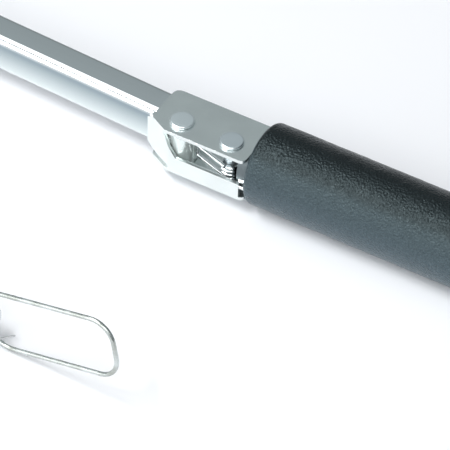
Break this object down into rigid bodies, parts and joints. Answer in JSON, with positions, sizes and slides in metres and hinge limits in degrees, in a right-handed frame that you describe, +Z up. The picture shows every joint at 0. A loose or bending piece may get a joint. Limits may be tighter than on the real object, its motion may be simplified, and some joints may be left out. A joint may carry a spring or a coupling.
{
  "type": "magnetic nail sweeper",
  "caption": "Wheeled magnetic sweeper with a lift-to-release magnet carrier and a telescoping rectangular handle that ends in a sprung folding foam grip.",
  "frame": {"origin": "on the floor, under the centre of the whole object's box", "axes": "+X along the handle from the magnet head to the grip, +Z up; the head lies across, along Y"},
  "size_m": [0.6265, 0.358, 0.09],
  "materials": {
    "painted_steel": "satin powder coat",
    "zinc_plate": "bright zinc plate",
    "chrome_plate": "polished",
    "plain_steel": "plain rolled steel",
    "dark_tube": "dark satin",
    "magnet_ceramic": "matt sintered",
    "moulded_plastic": "fine spark texture",
    "tyre_rubber": "matt",
    "grip_foam": "fine grained skin"
  },
  "bodies": {
    "head": {"housing_shell": "painted_steel", "wear_plate": "plain_steel", "plate_screw_1": "zinc_plate", "plate_screw_2": "zinc_plate", "plate_screw_3": "zinc_plate", "plate_screw_4": "zinc_plate", "end_plate_right": "painted_steel", "end_plate_left": "painted_steel", "guide_pin_right": "plain_steel", "guide_pin_left": "plain_steel", "handle_clevis": "zinc_plate", "clevis_pin": "zinc_plate", "clevis_bolt_right": "zinc_plate", "clevis_bolt_left": "zinc_plate", "lever_stand": "zinc_plate", "lever_pin": "plain_steel", "axle_right": "zinc_plate", "axle_left": "zinc_plate", "hub_nut_right": "zinc_plate", "hub_nut_left": "zinc_plate"},
    "wheel_right": {"tyre_right": "tyre_rubber", "wheel_rim_right": "moulded_plastic", "wheel_bush_right": "plain_steel"},
    "wheel_left": {"tyre_left": "tyre_rubber", "wheel_rim_left": "moulded_plastic", "wheel_bush_left": "plain_steel"},
    "magnet_carrier": {"back_bar": "plain_steel", "magnet_1": "magnet_ceramic", "magnet_2": "magnet_ceramic", "magnet_3": "magnet_ceramic", "magnet_4": "magnet_ceramic", "magnet_5": "magnet_ceramic", "magnet_6": "magnet_ceramic", "lift_yoke": "zinc_plate", "lift_pin": "plain_steel"},
    "release_lever": {"lever_arm": "zinc_plate", "loop_ferrule": "zinc_plate", "pull_loop": "chrome_plate", "split_pin": "plain_steel"},
    "lower_handle": {"handle_foot": "zinc_plate", "inner_tube": "chrome_plate", "foot_rivet": "zinc_plate", "glide_plug": "moulded_plastic"},
    "upper_handle": {"outer_tube": "chrome_plate", "clamp_collar": "moulded_plastic", "clamp_pin": "zinc_plate", "fold_knuckle": "zinc_plate"},
    "clamp": {"clamp_lever": "moulded_plastic"},
    "grip": {"fold_bracket": "zinc_plate", "fold_rivet": "zinc_plate", "spring_rivet": "zinc_plate", "torsion_spring": "chrome_plate", "grip_tube": "dark_tube", "foam_grip": "grip_foam", "grip_cap": "moulded_plastic"}
  },
  "joints": [
    {"name": "wheel_right_spin", "type": "hinge", "parent": "head", "child": "wheel_right", "pos_m": [-0.2505, -0.162, 0.045], "axis": [0, 1, 0], "continuous": true},
    {"name": "wheel_left_spin", "type": "hinge", "parent": "head", "child": "wheel_left", "pos_m": [-0.2505, 0.162, 0.045], "axis": [0, 1, 0], "continuous": true},
    {"name": "release_pivot", "type": "hinge", "parent": "head", "child": "release_lever", "pos_m": [-0.3005, -0.1225, 0.031], "axis": [0, -1, 0], "range_deg": [0, 35]},
    {"name": "magnet_lift", "type": "slide", "parent": "head", "child": "magnet_carrier", "axis": [0, 0, 1], "range_m": [0, 0.02413]},
    {"name": "handle_tilt", "type": "hinge", "parent": "head", "child": "lower_handle", "pos_m": [-0.2185, 0, 0.017], "axis": [0, -1, 0], "range_deg": [0, 90]},
    {"name": "handle_telescope", "type": "slide", "parent": "lower_handle", "child": "upper_handle", "axis": [1, 0, 0], "range_m": [0, 0.18]},
    {"name": "clamp_flip", "type": "hinge", "parent": "upper_handle", "child": "clamp", "pos_m": [-0.1515, 0, 0.0334], "axis": [0, -1, 0], "range_deg": [0, 100]},
    {"name": "grip_fold", "type": "hinge", "parent": "upper_handle", "child": "grip", "pos_m": [0.1255, -0.0077, 0.017], "axis": [0, 0, 1], "range_deg": [0, 100], "deforming": ["torsion_spring"]}
  ],
  "couplings": [
    {"joint": "magnet_lift", "follows": "release_pivot", "m_per_rad": 0.0395}
  ]
}
